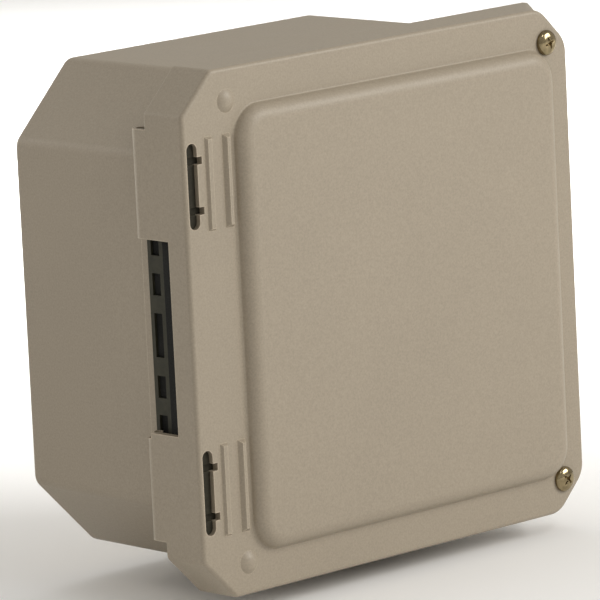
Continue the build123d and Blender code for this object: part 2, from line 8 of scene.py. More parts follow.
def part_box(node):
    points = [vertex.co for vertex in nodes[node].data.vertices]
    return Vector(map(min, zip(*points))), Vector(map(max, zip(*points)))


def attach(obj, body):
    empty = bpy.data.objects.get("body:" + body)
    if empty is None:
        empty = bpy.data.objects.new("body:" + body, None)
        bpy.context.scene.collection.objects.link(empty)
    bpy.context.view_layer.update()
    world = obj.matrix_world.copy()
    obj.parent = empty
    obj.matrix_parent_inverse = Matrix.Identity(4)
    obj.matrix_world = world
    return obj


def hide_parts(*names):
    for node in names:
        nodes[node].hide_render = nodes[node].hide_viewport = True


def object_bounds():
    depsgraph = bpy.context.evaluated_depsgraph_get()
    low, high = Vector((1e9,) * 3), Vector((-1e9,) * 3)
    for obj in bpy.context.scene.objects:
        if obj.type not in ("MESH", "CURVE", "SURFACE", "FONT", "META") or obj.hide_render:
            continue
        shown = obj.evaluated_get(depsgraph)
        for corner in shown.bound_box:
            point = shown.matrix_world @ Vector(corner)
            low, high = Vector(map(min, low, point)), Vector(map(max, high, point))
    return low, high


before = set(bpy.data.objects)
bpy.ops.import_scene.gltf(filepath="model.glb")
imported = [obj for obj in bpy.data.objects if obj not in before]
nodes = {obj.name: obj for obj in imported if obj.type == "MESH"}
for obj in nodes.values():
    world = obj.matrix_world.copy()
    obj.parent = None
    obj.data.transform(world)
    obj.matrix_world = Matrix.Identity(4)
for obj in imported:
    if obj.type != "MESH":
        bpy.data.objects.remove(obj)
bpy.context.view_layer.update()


# ---- Stand: pale floor, studio light and camera ------------------------------------------------
# The box stands on a wide floor of pale paper. A large soft light hangs to the right in front, one
# overhead, a low one behind, a small one high in front, and one over the floor behind.

def linked_mesh(name, points, faces):
    """A new piece made of these points and faces, linked to the scene."""
    mesh = bpy.data.meshes.new(name)
    mesh.from_pydata(points.tolist(), [], faces)
    mesh.update()
    piece = bpy.data.objects.new(name, mesh)
    bpy.context.scene.collection.objects.link(piece)
    return piece


def grid_mesh(name, x, y, z, close_u=False, close_v=False):
    """A mesh from three equal 2-D arrays; each cell is a quad, and a closed side joins last to first."""
    rows, columns = x.shape
    points = np.stack([x, y, z], -1).reshape(-1, 3)
    index = np.arange(rows * columns).reshape(rows, columns)
    if close_u:
        index = np.vstack([index, index[:1]])
    if close_v:
        index = np.hstack([index, index[:, :1]])
    quads = np.stack([index[:-1, :-1], index[:-1, 1:], index[1:, 1:], index[1:, :-1]], -1).reshape(-1, 4)
    return linked_mesh(name, points, quads.tolist())


floor_gap, floor_reach = 0.0005, 14.0
floor_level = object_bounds()[0].z - floor_gap
floor_lines = np.linspace(-floor_reach, floor_reach, 9)
across, along = np.meshgrid(floor_lines, floor_lines, indexing="ij")
floor = grid_mesh("paper_floor", across, along, np.full_like(across, floor_level))

paper = bpy.data.materials.new("pale_paper")
paper.use_nodes = True
paper.node_tree.nodes["Principled BSDF"].inputs["Base Color"].default_value = (0.95, 0.95, 0.95, 1)
paper.node_tree.nodes["Principled BSDF"].inputs["Roughness"].default_value = 0.9
floor.data.materials.append(paper)

surround = bpy.data.worlds.new("studio_surround")
surround.use_nodes = True
surround.node_tree.nodes["Background"].inputs["Color"].default_value = (1.0, 0.972, 0.92, 1)
surround.node_tree.nodes["Background"].inputs["Strength"].default_value = 0.51
bpy.context.scene.world = surround


def soft_light(name, place, aim, size, watts, tint=(1, 1, 1), spread=180.0):
    """A rectangular lamp turned to its aim, which the camera doesn't see; spread is in degrees."""
    lamp = bpy.data.lights.new(name, "AREA")
    lamp.shape = "RECTANGLE"
    lamp.size, lamp.size_y = size
    lamp.energy = watts
    lamp.color = tint
    lamp.spread = math.radians(spread)
    holder = bpy.data.objects.new(name, lamp)
    holder.location = place
    holder.visible_camera = False
    holder.rotation_euler = (Vector(aim) - Vector(place)).to_track_quat("-Z", "Y").to_euler()
    bpy.context.scene.collection.objects.link(holder)


box_middle = (0, -0.06, 0)
soft_light("right_key", (1.2, -1.8, 1.0), box_middle, (1.2, 1.0), 33.5, (1.0, 0.985, 0.95))
soft_light("overhead", (0.1, 0.45, 1.9), box_middle, (1.2, 0.8), 3.0)
soft_light("rear_rim", (-0.42, 1.9, 0.5), box_middle, (0.6, 1.2), 14, (1.0, 0.96, 0.88))
soft_light("front_glint", (-0.2, -1.5, 1.55), box_middle, (0.3, 0.2), 3.0)
soft_light("floor_wash", (0.7, 0.75, 0.9), (0.71, 0.76, -0.1), (1.2, 1.2), 9, spread=55.0)

camera_azimuth, camera_elevation = math.radians(43.579), math.radians(10.282)
camera_roll = math.radians(-2.822)
camera_distance = 2.6903
camera_aim = Vector((-0.02719, -0.09019, 0.00146))
look = Vector((math.sin(camera_azimuth) * math.cos(camera_elevation),
               math.cos(camera_azimuth) * math.cos(camera_elevation), -math.sin(camera_elevation)))
level = Vector((math.cos(camera_azimuth), -math.sin(camera_azimuth), 0))
upright = level.cross(look)
right = math.cos(camera_roll) * level + math.sin(camera_roll) * upright
up = math.cos(camera_roll) * upright - math.sin(camera_roll) * level
lens = bpy.data.cameras.new("camera")
lens.lens, lens.sensor_width = 378.32, 36.0
camera = bpy.data.objects.new("camera", lens)
camera.matrix_world = Matrix.Translation(camera_aim - look * camera_distance) @ Matrix(
    (right, up, -look)).transposed().to_4x4()
bpy.context.scene.collection.objects.link(camera)
bpy.context.scene.camera = camera
bpy.context.scene.view_settings.view_transform = "Standard"


# ---- Case: moulded box -------------------------------------------------------------------------
# The case is compression moulded from a glass-filled resin in a light olive beige, with the fine
# sparked grain of the mould all over and a faint cloudiness from the flow of the filler.

def moulded_resin(name, colour, flow_offset, grain_height=0.00003, grain_scale=2600.0, gloss=0.46,
                  mottle=0.045, edge_round=0.001, edge_light=1.6, shine=0.5):
    """Moulded plastic; mottle is how far its colour drifts, gloss its roughness, grain in metres and
    per metre. A painted highlight makes the rounded edges edge_light times as bright; shine is
    its specular."""
    material = bpy.data.materials.new(name)
    material.use_nodes = True
    tree = material.node_tree
    tree.nodes.clear()

    place = tree.nodes.new("ShaderNodeTexCoord")
    place.label, place.location = "place on the piece", (-1500, 0)
    shift = tree.nodes.new("ShaderNodeMapping")
    shift.label, shift.location = "own stretch of the flow", (-1300, 0)
    cloud = tree.nodes.new("ShaderNodeTexNoise")
    cloud.label, cloud.location = "cloudy flow of the filler", (-1050, 420)
    fleck = tree.nodes.new("ShaderNodeTexNoise")
    fleck.label, fleck.location = "fine flecks of filler", (-1050, 180)
    cloud_tone = tree.nodes.new("ShaderNodeMapRange")
    cloud_tone.label, cloud_tone.location = "cloud strength", (-820, 420)
    fleck_tone = tree.nodes.new("ShaderNodeMapRange")
    fleck_tone.label, fleck_tone.location = "fleck strength", (-820, 180)
    tone = tree.nodes.new("ShaderNodeMath")
    tone.label, tone.location = "cloud and flecks", (-600, 320)
    tint = tree.nodes.new("ShaderNodeMix")
    tint.label, tint.location = "tinted resin", (-380, 320)
    facing = tree.nodes.new("ShaderNodeNewGeometry")
    facing.label, facing.location = "true surface", (-1500, 760)
    softened = tree.nodes.new("ShaderNodeBevel")
    softened.label, softened.location = "surface with rounded edges", (-1500, 980)
    turned = tree.nodes.new("ShaderNodeVectorMath")
    turned.label, turned.location = "how far the edge turns", (-1050, 900)
    painted_edge_highlight = tree.nodes.new("ShaderNodeMapRange")
    painted_edge_highlight.label, painted_edge_highlight.location = "painted edge highlight", (-820, 900)
    edge_highlight_tone = tree.nodes.new("ShaderNodeMath")
    edge_highlight_tone.label, edge_highlight_tone.location = "with painted edge highlights", (-600, 620)
    grain = tree.nodes.new("ShaderNodeTexNoise")
    grain.label, grain.location = "sparked grain of the mould", (-1050, -120)
    pits = tree.nodes.new("ShaderNodeTexVoronoi")
    pits.label, pits.location = "small pits of the mould", (-1050, -360)
    wave = tree.nodes.new("ShaderNodeTexNoise")
    wave.label, wave.location = "slight sink of the walls", (-1050, -600)
    relief = tree.nodes.new("ShaderNodeMath")
    relief.label, relief.location = "grain and pits", (-820, -240)
    bump = tree.nodes.new("ShaderNodeBump")
    bump.label, bump.location = "grain relief", (-380, -240)
    sink = tree.nodes.new("ShaderNodeBump")
    sink.label, sink.location = "sink relief", (-160, -400)
    dull = tree.nodes.new("ShaderNodeMapRange")
    dull.label, dull.location = "uneven dullness", (-600, 60)
    shader = tree.nodes.new("ShaderNodeBsdfPrincipled")
    shader.label, shader.location = "resin", (100, 100)
    result = tree.nodes.new("ShaderNodeOutputMaterial")
    result.label, result.location = "surface", (400, 100)

    for label, members in (("colour", (cloud, fleck, cloud_tone, fleck_tone, tone, tint)),
                           ("edges", (facing, softened, turned, painted_edge_highlight, edge_highlight_tone)),
                           ("relief", (grain, pits, wave, relief, bump, sink)), ("gloss", (dull,))):
        group = tree.nodes.new("NodeFrame")
        group.label = label
        for member in members:
            member.parent = group

    shift.inputs["Location"].default_value = flow_offset
    cloud.inputs["Scale"].default_value = 22.0
    cloud.inputs["Detail"].default_value = 5.0
    fleck.inputs["Scale"].default_value = 1200.0
    fleck.inputs["Detail"].default_value = 3.0
    cloud_tone.inputs["To Min"].default_value = 1 - mottle
    cloud_tone.inputs["To Max"].default_value = 1 + mottle
    fleck_tone.inputs["From Min"].default_value = 0.25
    fleck_tone.inputs["From Max"].default_value = 0.75
    fleck_tone.inputs["To Min"].default_value = 1 - 2.5 * mottle
    fleck_tone.inputs["To Max"].default_value = 1 + 2.5 * mottle
    tone.operation = "MULTIPLY"
    softened.samples = 4
    softened.inputs["Radius"].default_value = edge_round
    turned.operation = "DOT_PRODUCT"
    # painted highlight: where the rounded normal turns from the true one, the colour is brightened up to
    # edge_light times, standing in for light caught on the edges
    painted_edge_highlight.inputs["From Min"].default_value = 0.99
    painted_edge_highlight.inputs["From Max"].default_value = 0.80
    painted_edge_highlight.inputs["To Min"].default_value = 1.0
    painted_edge_highlight.inputs["To Max"].default_value = edge_light
    edge_highlight_tone.operation = "MULTIPLY"
    tint.data_type, tint.blend_type = "RGBA", "MULTIPLY"
    tint.inputs["Factor"].default_value = 1.0
    tint.clamp_result = False
    tint.inputs["A"].default_value = (*colour, 1)
    grain.inputs["Scale"].default_value = grain_scale
    grain.inputs["Detail"].default_value = 2.0
    pits.inputs["Scale"].default_value = grain_scale / 2
    wave.inputs["Scale"].default_value = 14.0
    relief.operation = "ADD"
    bump.inputs["Strength"].default_value = 0.5
    bump.inputs["Distance"].default_value = grain_height
    sink.inputs["Strength"].default_value = 0.3
    sink.inputs["Distance"].default_value = 0.0004
    dull.inputs["To Min"].default_value = gloss - 0.06
    dull.inputs["To Max"].default_value = gloss + 0.08
    shader.inputs["IOR"].default_value = 1.5
    shader.inputs["Specular IOR Level"].default_value = shine

    tree.links.new(place.outputs["Object"], shift.inputs["Vector"])
    for texture in (cloud, fleck, grain, pits, wave):
        tree.links.new(shift.outputs["Vector"], texture.inputs["Vector"])
    tree.links.new(cloud.outputs["Fac"], cloud_tone.inputs["Value"])
    tree.links.new(fleck.outputs["Fac"], fleck_tone.inputs["Value"])
    tree.links.new(cloud_tone.outputs["Result"], tone.inputs[0])
    tree.links.new(fleck_tone.outputs["Result"], tone.inputs[1])
    tree.links.new(facing.outputs["Normal"], turned.inputs[0])
    tree.links.new(softened.outputs["Normal"], turned.inputs[1])
    tree.links.new(turned.outputs["Value"], painted_edge_highlight.inputs["Value"])
    tree.links.new(tone.outputs["Value"], edge_highlight_tone.inputs[0])
    tree.links.new(painted_edge_highlight.outputs["Result"], edge_highlight_tone.inputs[1])
    tree.links.new(edge_highlight_tone.outputs["Value"], tint.inputs["B"])
    tree.links.new(tint.outputs["Result"], shader.inputs["Base Color"])
    tree.links.new(grain.outputs["Fac"], relief.inputs[0])
    tree.links.new(pits.outputs["Distance"], relief.inputs[1])
    tree.links.new(relief.outputs["Value"], bump.inputs["Height"])
    tree.links.new(wave.outputs["Fac"], sink.inputs["Height"])
    tree.links.new(bump.outputs["Normal"], sink.inputs["Normal"])
    tree.links.new(sink.outputs["Normal"], shader.inputs["Normal"])
    tree.links.new(cloud.outputs["Fac"], dull.inputs["Value"])
    tree.links.new(dull.outputs["Result"], shader.inputs["Roughness"])
    tree.links.new(shader.outputs["BSDF"], result.inputs["Surface"])
    return material


def refinish(material, *names):
    """Gives carried-over nodes their finished material in every slot."""
    for name in names:
        slots = nodes[name].data.materials
        for number in range(len(slots)):
            slots[number] = material


resin_beige = (0.300, 0.253, 0.190)
refinish(moulded_resin("case_resin", resin_beige, (0.31, 0.12, 0.55)), "enclosure_body")


# ---- Back panel and rail: galvanised sheet -----------------------------------------------------
# The back panel is cut from galvanised sheet and the rail is rolled from it. Both keep the zinc's
# flat crystals, and are held by bright zinc-plated pan head screws.

def galvanised_sheet(name, colour, spangle_size, shift):
    """Zinc-dipped sheet: flat crystals of spangle_size metres, each with its own tone and dullness."""
    material = bpy.data.materials.new(name)
    material.use_nodes = True
    tree = material.node_tree
    tree.nodes.clear()

    place = tree.nodes.new("ShaderNodeTexCoord")
    place.label, place.location = "place on the sheet", (-1500, 0)
    cut = tree.nodes.new("ShaderNodeMapping")
    cut.label, cut.location = "where it was cut from", (-1300, 0)
    crystal = tree.nodes.new("ShaderNodeTexVoronoi")
    crystal.label, crystal.location = "zinc crystals", (-1050, 300)
    border = tree.nodes.new("ShaderNodeTexVoronoi")
    border.label, border.location = "crystal borders", (-1050, 0)
    crystal_value = tree.nodes.new("ShaderNodeSeparateColor")
    crystal_value.label, crystal_value.location = "one value per crystal", (-820, 300)
    crystal_tone = tree.nodes.new("ShaderNodeMapRange")
    crystal_tone.label, crystal_tone.location = "tone of each crystal", (-600, 380)
    film = tree.nodes.new("ShaderNodeTexNoise")
    film.label, film.location = "thin white film", (-1050, -300)
    film_tone = tree.nodes.new("ShaderNodeMapRange")
    film_tone.label, film_tone.location = "film strength", (-600, 120)
    tint = tree.nodes.new("ShaderNodeMix")
    tint.label, tint.location = "toned zinc", (-380, 380)
    veil = tree.nodes.new("ShaderNodeMix")
    veil.label, veil.location = "zinc under its film", (-160, 300)
    dull = tree.nodes.new("ShaderNodeMapRange")
    dull.label, dull.location = "dullness of each crystal", (-380, 0)
    ridge = tree.nodes.new("ShaderNodeMapRange")
    ridge.label, ridge.location = "narrow border ridge", (-600, -200)
    bump = tree.nodes.new("ShaderNodeBump")
    bump.label, bump.location = "crystal relief", (-160, -200)
    shader = tree.nodes.new("ShaderNodeBsdfPrincipled")
    shader.label, shader.location = "zinc", (100, 100)
    result = tree.nodes.new("ShaderNodeOutputMaterial")
    result.label, result.location = "surface", (400, 100)

    for label, members in (("colour", (crystal, crystal_value, crystal_tone, film, film_tone, tint, veil)),
                           ("gloss", (dull,)), ("relief", (border, ridge, bump))):
        group = tree.nodes.new("NodeFrame")
        group.label = label
        for member in members:
            member.parent = group

    cut.inputs["Location"].default_value = shift
    crystal.inputs["Scale"].default_value = 1 / spangle_size
    border.feature = "DISTANCE_TO_EDGE"
    border.inputs["Scale"].default_value = 1 / spangle_size
    crystal_tone.inputs["To Min"].default_value = 0.82
    crystal_tone.inputs["To Max"].default_value = 1.12
    film.inputs["Scale"].default_value = 35.0
    film.inputs["Detail"].default_value = 6.0
    film_tone.inputs["From Min"].default_value = 0.45
    film_tone.inputs["From Max"].default_value = 0.75
    film_tone.inputs["To Max"].default_value = 0.35
    tint.data_type, tint.blend_type = "RGBA", "MULTIPLY"
    tint.inputs["Factor"].default_value = 1.0
    tint.inputs["A"].default_value = (*colour, 1)
    veil.data_type = "RGBA"
    veil.inputs["B"].default_value = (0.70, 0.71, 0.72, 1)
    dull.inputs["To Min"].default_value = 0.28
    dull.inputs["To Max"].default_value = 0.48
    ridge.inputs["From Max"].default_value = 0.06
    bump.inputs["Strength"].default_value = 0.35
    bump.inputs["Distance"].default_value = 0.00004
    shader.inputs["Metallic"].default_value = 1.0

    tree.links.new(place.outputs["Object"], cut.inputs["Vector"])
    for texture in (crystal, border, film):
        tree.links.new(cut.outputs["Vector"], texture.inputs["Vector"])
    tree.links.new(crystal.outputs["Color"], crystal_value.inputs["Color"])
    tree.links.new(crystal_value.outputs["Red"], crystal_tone.inputs["Value"])
    tree.links.new(crystal_tone.outputs["Result"], tint.inputs["B"])
    tree.links.new(film.outputs["Fac"], film_tone.inputs["Value"])
    tree.links.new(tint.outputs["Result"], veil.inputs["A"])
    tree.links.new(film_tone.outputs["Result"], veil.inputs["Factor"])
    tree.links.new(veil.outputs["Result"], shader.inputs["Base Color"])
    tree.links.new(crystal_value.outputs["Green"], dull.inputs["Value"])
    tree.links.new(dull.outputs["Result"], shader.inputs["Roughness"])
    tree.links.new(border.outputs["Distance"], ridge.inputs["Value"])
    tree.links.new(ridge.outputs["Result"], bump.inputs["Height"])
    tree.links.new(bump.outputs["Normal"], shader.inputs["Normal"])
    tree.links.new(shader.outputs["BSDF"], result.inputs["Surface"])
    return material


refinish(galvanised_sheet("panel_zinc", (0.56, 0.57, 0.57), 0.007, (0.2, 0.4, 0.1)), "back_panel")
refinish(galvanised_sheet("rail_zinc", (0.60, 0.61, 0.60), 0.004, (0.7, 0.1, 0.3)), "din_rail")


def worked_metal(name, colour, tarnish, gloss=0.26, drawn=(1.0, 1.0, 1.0), metallic=1.0, marks=0.10,
                 shine=0.5):
    """Plated or bare metal. Cloudy tarnish turns colour towards tarnish, fine lines follow the drawn
    direction, the one with the smallest number, and small handling marks dull it by marks. Shine is the
    specular of a blackened or painted skin."""
    material = bpy.data.materials.new(name)
    material.use_nodes = True
    tree = material.node_tree
    tree.nodes.clear()

    place = tree.nodes.new("ShaderNodeTexCoord")
    place.label, place.location = "place on the piece", (-1500, 0)
    stretch = tree.nodes.new("ShaderNodeMapping")
    stretch.label, stretch.location = "direction of working", (-1300, -200)
    cloud = tree.nodes.new("ShaderNodeTexNoise")
    cloud.label, cloud.location = "clouds of tarnish", (-1050, 350)
    cloud_edge = tree.nodes.new("ShaderNodeMapRange")
    cloud_edge.label, cloud_edge.location = "how far it has tarnished", (-820, 350)
    tint = tree.nodes.new("ShaderNodeMix")
    tint.label, tint.location = "metal and tarnish", (-560, 350)
    line = tree.nodes.new("ShaderNodeTexNoise")
    line.label, line.location = "fine working lines", (-1050, -150)
    mark = tree.nodes.new("ShaderNodeTexVoronoi")
    mark.label, mark.location = "handling marks", (-1050, -420)
    mark_edge = tree.nodes.new("ShaderNodeMapRange")
    mark_edge.label, mark_edge.location = "size of the marks", (-820, -420)
    dull = tree.nodes.new("ShaderNodeMapRange")
    dull.label, dull.location = "dullness of the lines", (-820, 60)
    duller = tree.nodes.new("ShaderNodeMath")
    duller.label, duller.location = "marks are duller", (-560, 0)
    bump = tree.nodes.new("ShaderNodeBump")
    bump.label, bump.location = "line relief", (-300, -250)
    shader = tree.nodes.new("ShaderNodeBsdfPrincipled")
    shader.label, shader.location = "metal", (0, 100)
    result = tree.nodes.new("ShaderNodeOutputMaterial")
    result.label, result.location = "surface", (300, 100)

    for label, members in (("colour", (cloud, cloud_edge, tint)), ("gloss", (dull, mark, mark_edge, duller)),
                           ("relief", (line, bump))):
        group = tree.nodes.new("NodeFrame")
        group.label = label
        for member in members:
            member.parent = group

    stretch.inputs["Scale"].default_value = drawn
    cloud.inputs["Scale"].default_value = 260.0
    cloud.inputs["Detail"].default_value = 5.0
    cloud_edge.inputs["From Min"].default_value = 0.35
    cloud_edge.inputs["From Max"].default_value = 0.75
    tint.data_type = "RGBA"
    tint.inputs["A"].default_value = (*colour, 1)
    tint.inputs["B"].default_value = (*tarnish, 1)
    line.inputs["Scale"].default_value = 3500.0
    line.inputs["Detail"].default_value = 3.0
    mark.inputs["Scale"].default_value = 650.0
    mark_edge.inputs["From Min"].default_value = 0.12
    mark_edge.inputs["From Max"].default_value = 0.30
    mark_edge.inputs["To Min"].default_value = marks
    mark_edge.inputs["To Max"].default_value = 0.0
    dull.inputs["To Min"].default_value = gloss - 0.08
    dull.inputs["To Max"].default_value = gloss + 0.08
    duller.operation = "ADD"
    bump.inputs["Strength"].default_value = 0.25
    bump.inputs["Distance"].default_value = 0.00002
    shader.inputs["Metallic"].default_value = metallic
    shader.inputs["Specular IOR Level"].default_value = shine

    tree.links.new(place.outputs["Object"], stretch.inputs["Vector"])
    tree.links.new(place.outputs["Object"], cloud.inputs["Vector"])
    tree.links.new(place.outputs["Object"], mark.inputs["Vector"])
    tree.links.new(stretch.outputs["Vector"], line.inputs["Vector"])
    tree.links.new(cloud.outputs["Fac"], cloud_edge.inputs["Value"])
    tree.links.new(cloud_edge.outputs["Result"], tint.inputs["Factor"])
    tree.links.new(tint.outputs["Result"], shader.inputs["Base Color"])
    tree.links.new(line.outputs["Fac"], dull.inputs["Value"])
    tree.links.new(mark.outputs["Distance"], mark_edge.inputs["Value"])
    tree.links.new(dull.outputs["Result"], duller.inputs[0])
    tree.links.new(mark_edge.outputs["Result"], duller.inputs[1])
    tree.links.new(duller.outputs["Value"], shader.inputs["Roughness"])
    tree.links.new(line.outputs["Fac"], bump.inputs["Height"])
    tree.links.new(bump.outputs["Normal"], shader.inputs["Normal"])
    tree.links.new(shader.outputs["BSDF"], result.inputs["Surface"])
    return material


bright_zinc = worked_metal("bright_zinc", (0.66, 0.67, 0.66), (0.50, 0.51, 0.52), gloss=0.24)
refinish(bright_zinc, "panel_screws", "rail_screws")


# ---- Surge protector base, its rail foot and end stops -----------------------------------------
# The base and the end stops are injection moulded in pale grey flame-proof plastic. The foot that
# grips the rail is dark nylon and slides down on its own spring.

device_grey = moulded_resin("device_plastic", (0.47, 0.48, 0.47), (0.2, 0.7, 0.4), grain_height=0.00001,
                            grain_scale=3200.0, gloss=0.38, mottle=0.02)
refinish(device_grey, "spd_base", "end_stops")
dark_nylon = moulded_resin("dark_nylon", (0.024, 0.021, 0.013), (0.5, 0.1, 0.9), grain_height=0.00002,
                           grain_scale=2400.0, gloss=0.62, mottle=0.10, shine=0.2)
refinish(dark_nylon, "rail_latch")
refinish(bright_zinc, "end_stop_screws")


# ---- Terminals and contacts --------------------------------------------------------------------
# Steel cages are bent from zinc-plated strip and drawn up by slotted screws. The spring contacts
# that take the modules' blades are tinned copper alloy.

def in_each_module(part):
    """The names of one part in the three modules."""
    return [f"{part}_{number}" for number in (1, 2, 3)]


cage_zinc = worked_metal("cage_zinc", (0.60, 0.60, 0.58), (0.44, 0.43, 0.40), gloss=0.32,
                         drawn=(1.0, 1.0, 0.15))
refinish(cage_zinc, "terminal_cages")
refinish(bright_zinc, "terminal_screws")
tinned_copper = worked_metal("tinned_copper", (0.74, 0.66, 0.58), (0.66, 0.38, 0.24), gloss=0.30,
                             drawn=(1.0, 0.12, 1.0))
refinish(tinned_copper, "contact_clips", *in_each_module("contact_blades"))


# ---- Plug-in surge modules ---------------------------------------------------------------------
# Each module is a thin moulded housing on a base plate, round a disc varistor dipped in blue epoxy,
# with a bare spring strip that lets go if the disc gets hot.

module_grey = moulded_resin("module_plastic", (0.56, 0.555, 0.53), (0.6, 0.3, 0.2), grain_height=0.000012,
                            grain_scale=3000.0, gloss=0.36, mottle=0.02)
refinish(module_grey, *in_each_module("module_housing"))
refinish(device_grey, *in_each_module("module_base"))


def dipped_epoxy(name, colour):
    """A dipped coat: slow waves where it sagged, fine orange peel, and a few lighter, thinner places."""
    material = bpy.data.materials.new(name)
    material.use_nodes = True
    tree = material.node_tree
    tree.nodes.clear()

    place = tree.nodes.new("ShaderNodeTexCoord")
    place.label, place.location = "place on the disc", (-1200, 0)
    sag = tree.nodes.new("ShaderNodeTexNoise")
    sag.label, sag.location = "sagged coat", (-950, 200)
    peel = tree.nodes.new("ShaderNodeTexNoise")
    peel.label, peel.location = "orange peel", (-950, -100)
    thin = tree.nodes.new("ShaderNodeMapRange")
    thin.label, thin.location = "thin places", (-700, 200)
    tint = tree.nodes.new("ShaderNodeMix")
    tint.label, tint.location = "coat colour", (-450, 200)
    sag_bump = tree.nodes.new("ShaderNodeBump")
    sag_bump.label, sag_bump.location = "sag relief", (-450, -50)
    peel_bump = tree.nodes.new("ShaderNodeBump")
    peel_bump.label, peel_bump.location = "peel relief", (-220, -150)
    shader = tree.nodes.new("ShaderNodeBsdfPrincipled")
    shader.label, shader.location = "epoxy", (0, 100)
    result = tree.nodes.new("ShaderNodeOutputMaterial")
    result.label, result.location = "surface", (300, 100)

    for label, members in (("colour", (thin, tint)), ("relief", (sag, peel, sag_bump, peel_bump))):
        group = tree.nodes.new("NodeFrame")
        group.label = label
        for member in members:
            member.parent = group

    sag.inputs["Scale"].default_value = 120.0
    peel.inputs["Scale"].default_value = 1400.0
    thin.inputs["From Min"].default_value = 0.4
    thin.inputs["From Max"].default_value = 0.8
    tint.data_type = "RGBA"
    tint.inputs["A"].default_value = (*colour, 1)
    tint.inputs["B"].default_value = (0.07, 0.17, 0.42, 1)
    sag_bump.inputs["Distance"].default_value = 0.0004
    sag_bump.inputs["Strength"].default_value = 0.5
    peel_bump.inputs["Distance"].default_value = 0.00003
    shader.inputs["Roughness"].default_value = 0.22
    shader.inputs["Coat Weight"].default_value = 0.5
    shader.inputs["Coat Roughness"].default_value = 0.08

    for texture in (sag, peel):
        tree.links.new(place.outputs["Object"], texture.inputs["Vector"])
    tree.links.new(sag.outputs["Fac"], thin.inputs["Value"])
    tree.links.new(thin.outputs["Result"], tint.inputs["Factor"])
    tree.links.new(tint.outputs["Result"], shader.inputs["Base Color"])
    tree.links.new(sag.outputs["Fac"], sag_bump.inputs["Height"])
    tree.links.new(peel.outputs["Fac"], peel_bump.inputs["Height"])
    tree.links.new(sag_bump.outputs["Normal"], peel_bump.inputs["Normal"])
    tree.links.new(peel_bump.outputs["Normal"], shader.inputs["Normal"])
    tree.links.new(shader.outputs["BSDF"], result.inputs["Surface"])
    return material


refinish(dipped_epoxy("varistor_coat", (0.02, 0.075, 0.26)), *in_each_module("varistor"))
spring_strip = worked_metal("spring_strip", (0.56, 0.53, 0.46), (0.42, 0.36, 0.28), gloss=0.22,
                            drawn=(1.0, 0.1, 1.0))
refinish(spring_strip, *in_each_module("disconnect_spring"))


# ---- Indicator flags ---------------------------------------------------------------------------
# A flag slides behind each module's window. Its lower half is green and its upper half red, so the
# window turns red when the flag drops.

def two_tone_flag(name, lower, upper, change_height):
    """Smooth plastic moulded in two shots, which meet at change_height metres above the frame's origin."""
    material = bpy.data.materials.new(name)
    material.use_nodes = True
    tree = material.node_tree
    tree.nodes.clear()

    place = tree.nodes.new("ShaderNodeTexCoord")
    place.label, place.location = "place on the flag", (-1200, 0)
    heights = tree.nodes.new("ShaderNodeSeparateXYZ")
    heights.label, heights.location = "height on the flag", (-950, 200)
    above = tree.nodes.new("ShaderNodeMath")
    above.label, above.location = "above the joint", (-700, 200)
    shots = tree.nodes.new("ShaderNodeMix")
    shots.label, shots.location = "green below, red above", (-450, 200)
    grain = tree.nodes.new("ShaderNodeTexNoise")
    grain.label, grain.location = "fine grain of the mould", (-950, -100)
    dull = tree.nodes.new("ShaderNodeMapRange")
    dull.label, dull.location = "uneven dullness", (-450, 0)
    bump = tree.nodes.new("ShaderNodeBump")
    bump.label, bump.location = "grain relief", (-450, -200)
    shader = tree.nodes.new("ShaderNodeBsdfPrincipled")
    shader.label, shader.location = "flag plastic", (-150, 100)
    result = tree.nodes.new("ShaderNodeOutputMaterial")
    result.label, result.location = "surface", (150, 100)

    for label, members in (("colour", (heights, above, shots)), ("gloss", (dull,)),
                           ("relief", (grain, bump))):
        group = tree.nodes.new("NodeFrame")
        group.label = label
        for member in members:
            member.parent = group

    above.operation = "GREATER_THAN"
    above.inputs[1].default_value = change_height
    shots.data_type = "RGBA"
    shots.inputs["A"].default_value = (*lower, 1)
    shots.inputs["B"].default_value = (*upper, 1)
    grain.inputs["Scale"].default_value = 2200.0
    dull.inputs["To Min"].default_value = 0.28
    dull.inputs["To Max"].default_value = 0.40
    bump.inputs["Strength"].default_value = 0.3
    bump.inputs["Distance"].default_value = 0.00002

    tree.links.new(place.outputs["Object"], heights.inputs["Vector"])
    tree.links.new(place.outputs["Object"], grain.inputs["Vector"])
    tree.links.new(heights.outputs["Z"], above.inputs[0])
    tree.links.new(above.outputs["Value"], shots.inputs["Factor"])
    tree.links.new(shots.outputs["Result"], shader.inputs["Base Color"])
    tree.links.new(grain.outputs["Fac"], dull.inputs["Value"])
    tree.links.new(grain.outputs["Fac"], bump.inputs["Height"])
    tree.links.new(dull.outputs["Result"], shader.inputs["Roughness"])
    tree.links.new(bump.outputs["Normal"], shader.inputs["Normal"])
    tree.links.new(shader.outputs["BSDF"], result.inputs["Surface"])
    return material


flag_low, flag_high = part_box("indicator_flag_1")
above_middle = 0.0003
flag_plastic = two_tone_flag("flag_plastic", (0.03, 0.36, 0.08), (0.52, 0.025, 0.015),
                             (flag_low.z + flag_high.z) / 2 + above_middle)
refinish(flag_plastic, *in_each_module("indicator_flag"))


# ---- Ground bar and link wire ------------------------------------------------------------------
# The bar is machined brass on nylon stand-offs, with a slotted screw over each wire hole. A green
# insulated wire links it to the last lower terminal of the base.

